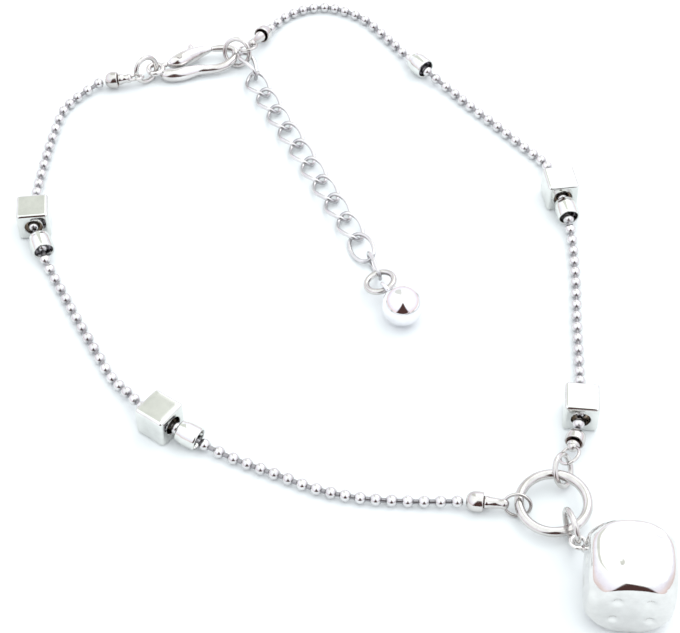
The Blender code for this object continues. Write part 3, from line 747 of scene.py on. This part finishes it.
# Studio: a pale card under a bright tent, with a dark opening for the camera in it and warm
# bands low down past the edge of the card.
studio = {
    "card": "#F4F8F9", "cardGrain": "#F1F6F7", "cardWide": 3.0,
    "tentLight": 1.56, "bands": [(0.0, "#C9B6B3"), (0.05, "#D8CBCA"), (0.14, "#DEDBE6"), (0.34, "#EEF1F8"),
                                 (0.55, "#FBFFFF")],
    "flag": "#CCCFC9", "flagAt": (-22.0, 46.0), "flagWide": (20.0, 24.0),
    "softbox": 1.25, "softboxAt": (18.0, 52.0), "softboxWide": (24.0, 24.0),
    "opening": "#46312F", "openingWide": 34.0, "openingNarrow": 7.0, "openingTop": 60.0,
    "keyLight": 0.35, "keyWide": 0.30, "keyAt": (0.30, 0.22, 0.45),
}

floorMesh = bpy.data.meshes.new("card")
wide = studio["cardWide"]
corners = [(-wide, -wide, 0), (wide, -wide, 0), (wide, wide, 0), (-wide, wide, 0)]
floorMesh.from_pydata(corners, [], [(0, 1, 2, 3)])
floor = bpy.data.objects.new("card", floorMesh)
bpy.context.scene.collection.objects.link(floor)
mat, tree, shader = newFinish("matteCard")  # soft, even white with no sheen, so shadows stay pale
place = addNode(tree, "ShaderNodeTexCoord")
paper = addNode(tree, "ShaderNodeTexNoise", inputs={"Scale": 400.0, "Detail": 3.0},
                links={"Vector": place.outputs["Object"]})
tone = addNode(tree, "ShaderNodeValToRGB", links={"Fac": paper.outputs["Fac"]})
tone.color_ramp.elements[0].color = hexToLinear(studio["cardGrain"])
tone.color_ramp.elements[1].color = hexToLinear(studio["card"])
tree.links.new(tone.outputs["Color"], shader.inputs["Base Color"])
shader.inputs["Roughness"].default_value = 0.85
shader.inputs["Specular IOR Level"].default_value = 0.1
floorMesh.materials.append(mat)

world = bpy.data.worlds.new("tent")
bpy.context.scene.world = world
world.use_nodes = True
tree = world.node_tree
tree.nodes.clear()
out = addNode(tree, "ShaderNodeOutputWorld")
back = addNode(tree, "ShaderNodeBackground", inputs={"Strength": studio["tentLight"]})
tree.links.new(back.outputs["Background"], out.inputs["Surface"])
sky = addNode(tree, "ShaderNodeTexCoord")
part = addNode(tree, "ShaderNodeSeparateXYZ", links={"Vector": sky.outputs["Generated"]})
rise = addNode(tree, "ShaderNodeMath", {"operation": "ARCSINE"}, links={0: part.outputs["Z"]})
rise = addNode(tree, "ShaderNodeMath", {"operation": "DEGREES"}, links={0: rise.outputs["Value"]})
# the way round in degrees, where 0 is behind the anklet
around = addNode(tree, "ShaderNodeMath", {"operation": "ARCTAN2"},
                 links={0: part.outputs["X"], 1: part.outputs["Y"]})
around = addNode(tree, "ShaderNodeMath", {"operation": "DEGREES"}, links={0: around.outputs["Value"]})
height = addNode(tree, "ShaderNodeMapRange", inputs={"From Max": 90.0},
                 links={"Value": rise.outputs["Value"]})
bands = addNode(tree, "ShaderNodeValToRGB", links={"Fac": height.outputs["Result"]})
while len(bands.color_ramp.elements) < len(studio["bands"]):
    bands.color_ramp.elements.new(0.5)
for element, (at, code) in zip(bands.color_ramp.elements, studio["bands"]):
    element.position = at
    element.color = hexToLinear(code)


def tentPatch(middle, wide):
    # 1 inside an oval of directions and 0 outside it
    offsets = []
    for angle, centre, reach in zip((around, rise), middle, wide):
        off = addNode(tree, "ShaderNodeMath", {"operation": "SUBTRACT"}, {1: centre},
                      {0: angle.outputs["Value"]})
        off = addNode(tree, "ShaderNodeMath", {"operation": "DIVIDE"}, {1: reach}, {0: off.outputs["Value"]})
        offsets.append(off.outputs["Value"])
    away = addNode(tree, "ShaderNodeCombineXYZ", links={"X": offsets[0], "Y": offsets[1]})
    away = addNode(tree, "ShaderNodeVectorMath", {"operation": "LENGTH"}, links={0: away.outputs["Vector"]})
    return addNode(tree, "ShaderNodeMapRange", {"interpolation_type": "SMOOTHSTEP"},
                   {"From Min": 1.15, "From Max": 0.75}, {"Value": away.outputs["Value"]}).outputs["Result"]


# a greenish flag behind to the left, and a bright softbox behind to the right
tentTone = addNode(tree, "ShaderNodeMix", {"data_type": "RGBA"}, {7: hexToLinear(studio["flag"])},
                   {0: tentPatch(studio["flagAt"], studio["flagWide"]), 6: bands.outputs["Color"]})
tentTone = addNode(tree, "ShaderNodeMix", {"data_type": "RGBA"}, {7: (*[studio["softbox"]] * 3, 1.0)},
                   {0: tentPatch(studio["softboxAt"], studio["softboxWide"]), 6: tentTone.outputs[2]})

# the camera's opening: wide at the card and narrowing upward
turned = addNode(tree, "ShaderNodeMath", {"operation": "ABSOLUTE"}, links={0: around.outputs["Value"]})
turned = addNode(tree, "ShaderNodeMath", {"operation": "SUBTRACT"}, {0: 180.0},
                 {1: turned.outputs["Value"]})
width = addNode(tree, "ShaderNodeMapRange",
                inputs={"From Max": studio["openingTop"], "To Min": studio["openingWide"],
                        "To Max": studio["openingNarrow"]},
                links={"Value": rise.outputs["Value"]})
edge = addNode(tree, "ShaderNodeMath", {"operation": "SUBTRACT"},
               links={0: width.outputs["Result"], 1: turned.outputs["Value"]})
within = addNode(tree, "ShaderNodeMapRange", {"interpolation_type": "SMOOTHSTEP"},
                 {"From Min": -5.0, "From Max": 5.0}, {"Value": edge.outputs["Value"]})
below = addNode(tree, "ShaderNodeMapRange", {"interpolation_type": "SMOOTHSTEP"},
                {"From Min": studio["openingTop"] + 3, "From Max": studio["openingTop"] - 3},
                {"Value": rise.outputs["Value"]})
opening = addNode(tree, "ShaderNodeMath", {"operation": "MULTIPLY"},
                  links={0: within.outputs["Result"], 1: below.outputs["Result"]})
blend = addNode(tree, "ShaderNodeMix", {"data_type": "RGBA"}, {7: hexToLinear(studio["opening"])},
                {0: opening.outputs["Value"], 6: tentTone.outputs[2]})
tree.links.new(blend.outputs[2], back.inputs["Color"])

keyData = bpy.data.lights.new("key", "AREA")
keyData.shape = "DISK"
keyData.size = studio["keyWide"]
keyData.energy = studio["keyLight"]
key = bpy.data.objects.new("key", keyData)
bpy.context.scene.collection.objects.link(key)
key.location = lookAt + Vector(studio["keyAt"])
key.rotation_euler = (lookAt - key.location).to_track_quat("-Z", "Y").to_euler()

bpy.context.scene.view_settings.view_transform = "Standard"
print("studio lit")
